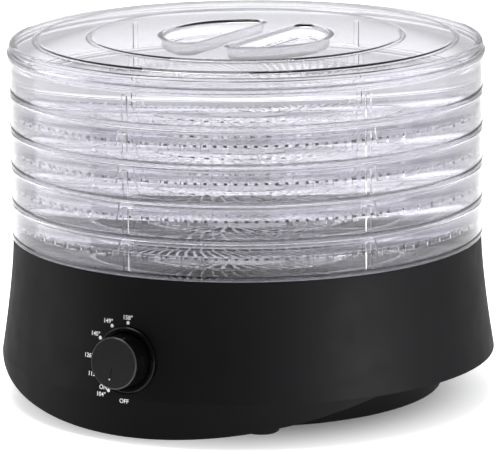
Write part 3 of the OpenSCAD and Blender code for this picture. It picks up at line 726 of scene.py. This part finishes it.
def build_lid():
    """The domed lid: its outside, its underside and the two wells, as one closed moulding."""
    weld = Weld()
    segments = 288
    top, skirt = LID_H, LID_SKIRT_H
    out = [
        (INNER_R - 0.9, 1.5), (INNER_R - 1.0, 1.2), (INNER_R - 1.0, 0.2), (INNER_R - 0.8, 0.0),
        (TRAY_R + 1.4, 0.0), (TRAY_R + 1.7, 0.2), (TRAY_R + 1.8, 0.5), (TRAY_R + 1.8, 2.3),
        (TRAY_R + 1.6, 2.8), (TRAY_R + 1.1, 3.1), (TRAY_R + 0.85, 3.8), (TRAY_R + 0.4, skirt - 2.8),
        (TRAY_R + 0.1, skirt - 1.6), (TRAY_R - 0.6, skirt - 0.6), (LID_EDGE_R + 0.6, skirt - 0.1),
        (LID_EDGE_R, skirt), (LID_EDGE_R - 1, skirt)]

    def step(r, low, high):
        """A rounded rise in the lid's top."""
        return [(r + 2.2, low), (r + 1.2, low), (r + 0.7, low + 0.1), (r + 0.4, low + 0.35),
                (r - 0.4, high - 0.35), (r - 0.7, high - 0.1), (r - 1.2, high), (r - 2.2, high)]

    steps = step(STEP_OUT, skirt, top - STEP_H) + step(STEP_IN, top - STEP_H, top)
    out += steps
    ceiling = skirt - CLEAR_T
    under = [(INNER_R - 0.4, 1.8), (INNER_R - 0.4, ceiling - 1.8), (INNER_R - 0.8, ceiling - 0.7),
             (INNER_R - 1.6, ceiling), (INNER_R - 2.6, ceiling)]
    under += [(r - 1.0, z - CLEAR_T) for r, z in steps]

    def ring(r, z):
        """A circle of points about the lid's axis."""
        return [turned(r, z, i * 360 / segments) for i in range(segments)]

    for chain, flip in ((out, False), (under, True)):
        rings = [ring(r, z) for r, z in chain]
        for a, b in zip(rings, rings[1:]):
            weld.band(b, a) if flip else weld.band(a, b)
    weld.band(ring(*under[0]), ring(*out[0]))
    for thick, level, edge, flip in ((0, top, out[-1], False), (CLEAR_T, top - CLEAR_T, under[-1], True)):
        wells = [well_side(side, level, thick) for side in (1, -1)]
        loops = [ring(*edge)] + [well[0] for well in wells]
        spots = [p for loop in loops for p in loop]
        for tri in geometry.tessellate_polygon([[Vector(p) for p in loop] for loop in loops]):
            corners = [spots[i] for i in tri]
            up = (Vector(corners[1]) - Vector(corners[0])).cross(Vector(corners[2]) - Vector(corners[0])).z
            weld.face(corners if (up > 0) != flip else corners[::-1])
        for well in wells:
            for a, b in zip(well, well[1:]):
                weld.band(a, b) if flip else weld.band(b, a)
            weld.face(well[-1] if flip else well[-1][::-1])
    return weld


def make_lid(materials):
    """One clear piece that stands for the CAD lid and its grip."""
    weld = build_lid()
    lid = new_piece("clear_lid", weld.points, weld.faces, materials["clear"], 40)
    lid.location.z = LID_SEAM * MM
    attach(lid, "lid")
    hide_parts("lid", "lid_grip")


# ---------------------------------------------------------------- dial print and pointer

JOINTS = {joint["name"]: joint for joint in frame["joints"]}
DIAL_AT = Vector(JOINTS["dial_turn"]["pos_m"]) / MM
DIAL_OUT = -Vector(JOINTS["dial_turn"]["axis"]).normalized()
DIAL_RIGHT = Vector((0, 0, 1)).cross(DIAL_OUT).normalized()
DIAL_UP = DIAL_OUT.cross(DIAL_RIGHT)
KNOB_FACE = 16.0
RIM_R = 152.2
FLARE_TOP, FLARE_LOW, FLARE_POWER = SEAM_1 - 5, 29.0, 1.4
CIRCLE_POINTS = 24


def dial_point(x, y, out):
    """A point right of, above and out from the dial's centre."""
    return DIAL_AT + DIAL_RIGHT * x + DIAL_UP * y + DIAL_OUT * out


def housing_radius(z):
    """Radius of the flared housing's skin at height z."""
    share = min(1.0, max(0.0, (FLARE_TOP - z) / (FLARE_TOP - FLARE_LOW)))
    return RIM_R + (SKIRT_R - RIM_R) * share ** FLARE_POWER


def on_housing(x, y, proud):
    """The point of the housing's skin in front of (x, y) of the dial, stood proud by a little."""
    # low stays inside the housing and high outside it, and the gap between them is halved
    low, high, halvings = -14.0, 6.0, 40
    for _ in range(halvings):
        middle = (low + high) / 2
        p = dial_point(x, y, middle)
        if math.hypot(p.x, p.y) < housing_radius(p.z):
            low = middle
        else:
            high = middle
    return dial_point(x, y, low + proud)


def lay_print(name, flat_points, faces, materials):
    """A thin layer of ink that follows the housing."""
    gap, film = 0.02, 0.05
    count = len(flat_points)
    points = [tuple(on_housing(x, y, gap)) for x, y in flat_points]
    points += [tuple(on_housing(x, y, gap + film)) for x, y in flat_points]
    solid = [f[::-1] for f in faces] + [[i + count for i in f] for f in faces]
    # The film's rim: the edges that only one face has
    sides = {}
    for f in faces:
        for a, b in zip(f, f[1:] + f[:1]):
            if (b, a) in sides:
                del sides[(b, a)]
            else:
                sides[(a, b)] = True
    solid += [[a, b, b + count, a + count] for a, b in sides]
    piece = new_piece(name, points, solid, materials["print"], 40)
    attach(piece, "base")


def print_word(name, text, height, x, y, materials):
    """One word of the dial, centred on (x, y) of the dial's face."""
    curve = bpy.data.curves.new(name, "FONT")
    curve.body = text
    curve.size = height * SIZE_OF_FIGURES
    curve.align_x = "CENTER"
    curve.align_y = "CENTER"
    curve.offset = height * BOLDNESS
    holder = bpy.data.objects.new(name + "_outline", curve)
    bpy.context.scene.collection.objects.link(holder)
    bpy.context.view_layer.update()
    mesh = bpy.data.meshes.new_from_object(holder.evaluated_get(bpy.context.evaluated_depsgraph_get()))
    weld = Weld()
    for polygon in mesh.polygons:
        corners = [mesh.vertices[i].co for i in polygon.vertices]
        weld.face([(c.x + x, c.y + y, 0.0) for c in corners])
    bpy.data.objects.remove(holder)
    flat = [(p[0], p[1]) for p in weld.points]
    faces = []
    for f in weld.faces:
        a, b, c = (Vector(flat[i]) for i in f[:3])
        turn = (b.x - a.x) * (c.y - a.y) - (b.y - a.y) * (c.x - a.x)
        faces.append(list(f) if turn > 0 else list(f)[::-1])
    lay_print(name, flat, faces, materials)


def print_dot(name, turn, r, size, materials):
    """A round dot at a turn counted anticlockwise from the top of the dial."""
    t = math.radians(turn)
    cx, cy = -r * math.sin(t), r * math.cos(t)
    count = CIRCLE_POINTS
    flat = arc(cx, cy, size, 0, 360, count)[:-1] + [(cx, cy)]
    faces = [[i, (i + 1) % count, count] for i in range(count)]
    lay_print(name, flat, faces, materials)


# Turn of each dot from the top of the dial, its label, and the label's place on the dial's face
DIAL_MARKS = [
    (0, "158°", -0.4, 26.5), (30, "149°", -14.7, 22.9), (60, "140°", -24.1, 13.8),
    (90, "126°", -28.7, -0.4), (120, "113°", -24.8, -11.6), (150, "104°", -17.2, -23.4)]
DIAL_WORDS = [("ON", -15.8, -18.9), ("OFF", 0.0, -25.8)]
DOT_R, DOT_SIZE = 23.4, 1.15
LETTER_H = 2.75
# The font's size for figures 1 high, and how much the strokes swell
SIZE_OF_FIGURES = 1.4
BOLDNESS = 0.018
POINTER_TURN = -13


def make_dial_print(materials):
    """The dots and labels round the dial."""
    for turn, text, x, y in DIAL_MARKS:
        print_dot(f"mark_{text[:-1]}_dot", turn, DOT_R, DOT_SIZE, materials)
        print_word(f"mark_{text[:-1]}_label", text, LETTER_H, x, y, materials)
    for text, x, y in DIAL_WORDS:
        print_word(f"mark_{text.lower()}_label", text, LETTER_H, x, y, materials)


def make_knob_dot(materials):
    """The painted dot at the pointer's end, on the knob's face."""
    t = math.radians(POINTER_TURN)
    r, size = 10.6, 0.5
    cx, cy = r * math.sin(t), -r * math.cos(t)
    weld = Weld()
    rings = []
    for radius, lift in ((size, 0.0), (size, 0.05), (size * 0.85, 0.09)):
        circle = arc(cx, cy, radius, 0, 360, CIRCLE_POINTS)[:-1]
        rings.append([tuple(dial_point(x, y, KNOB_FACE + lift)) for x, y in circle])
    weld.band(rings[0], rings[1])
    weld.band(rings[1], rings[2])
    weld.face(rings[2])
    weld.face(rings[0][::-1])
    dot = new_piece("pointer_dot", weld.points, weld.faces, materials["print"])
    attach(dot, "dial")


# ---------------------------------------------------------------- finish on the CAD nodes

FINISH = {
    "base_housing": "housing", "base_deck": "inner", "air_outlet_grille": "inner", "bottom_cover": "inner",
    "feet": "rubber", "cord_gland": "rubber", "dial_collar": "collar", "knob": "knob", "deck_screws": "steel",
    "bottom_screws": "steel", "motor_screws": "steel", "motor_shaft": "steel", "thermostat_nut": "steel",
    "thermostat_shaft": "steel", "motor_brackets": "steel", "fan_duct": "sheet", "motor_core": "laminations",
    "heater_coil": "coil", "motor_winding": "copper", "motor_bearings": "bronze", "motor_rotor": "rotor",
    "heater_frame": "mica", "thermostat_body": "phenolic", "terminal_block": "terminal", "wiring": "wire",
    "thermal_fuse": "ceramic", "fan_impeller": "inner"}
# Radius of the small rounds on the edges of CAD nodes, in millimetres
SOFT_EDGES = {
    "base_housing": 0.45, "base_deck": 0.2, "bottom_cover": 0.3, "feet": 0.5,
    "dial_collar": 0.25, "knob": 0.6}


def finish_nodes(materials):
    """Materials and small rounds for the CAD nodes that stay."""
    for node, key in FINISH.items():
        obj = NODES[node]
        obj.data.materials.clear()
        obj.data.materials.append(materials[key])
    for node, width in SOFT_EDGES.items():
        add_bevel(NODES[node], width, 3, 35)


make_camera()
make_world()
make_lights(make_floor())
set_look()
MATERIALS = make_materials()
make_trays(MATERIALS)
make_lid(MATERIALS)
make_dial_print(MATERIALS)
make_knob_dot(MATERIALS)
finish_nodes(MATERIALS)
